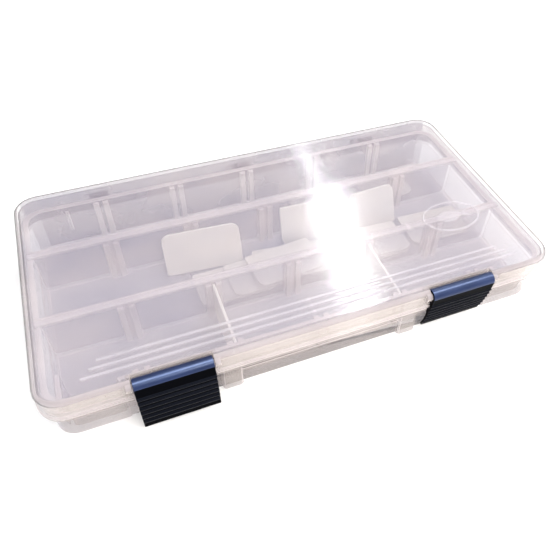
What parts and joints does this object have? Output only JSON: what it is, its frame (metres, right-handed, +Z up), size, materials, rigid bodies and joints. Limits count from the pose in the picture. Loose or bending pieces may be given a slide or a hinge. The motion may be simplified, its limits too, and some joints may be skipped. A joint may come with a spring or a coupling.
{
  "type": "compartment tackle box",
  "caption": "Flat clear utility box with three rows of divider slots, a snap-hinged lid and two ribbed dark blue front latches over a catch ledge.",
  "frame": {"origin": "centre of the closed box's footprint, on the surface it stands on; the footprint includes the left latch, which stands ajar, in front and the hinge hooks behind", "axes": "+X along the box's length towards its right end, +Y from the latches to the hinges, +Z up through the lid"},
  "size_m": [0.235, 0.1349, 0.0289],
  "materials": {
    "clear_shell": "clear moulded polypropylene, slightly frosted",
    "latch_navy": "glossy dark blue moulded plastic",
    "divider_frost": "frosted moulded polypropylene"
  },
  "bodies": {
    "tray": {"tray": "clear_shell", "divider_front_2": "divider_frost", "divider_front_4": "divider_frost", "divider_loose_1": "divider_frost", "divider_loose_2": "divider_frost", "divider_loose_3": "divider_frost", "divider_loose_4": "divider_frost", "divider_loose_5": "divider_frost", "divider_loose_6": "divider_frost", "divider_loose_7": "divider_frost", "divider_loose_8": "divider_frost", "divider_loose_9": "divider_frost", "divider_loose_10": "divider_frost", "divider_loose_11": "divider_frost", "divider_loose_12": "divider_frost", "divider_loose_13": "divider_frost"},
    "lid": {"lid": "clear_shell"},
    "latch_left": {"latch_left": "latch_navy"},
    "latch_right": {"latch_right": "latch_navy"}
  },
  "joints": [
    {"name": "lid_hinge", "type": "hinge", "parent": "tray", "child": "lid", "pos_m": [0, 0.06548, 0.0179], "axis": [-1, 0, 0], "range_deg": [0, 180]},
    {"name": "latch_left_hinge", "type": "hinge", "parent": "lid", "child": "latch_left", "pos_m": [-0.0656, -0.06173, 0.0254], "axis": [-1, 0, 0], "range_deg": [-18, 92]},
    {"name": "latch_right_hinge", "type": "hinge", "parent": "lid", "child": "latch_right", "pos_m": [0.0656, -0.06173, 0.0254], "axis": [-1, 0, 0], "range_deg": [0, 110]}
  ]
}
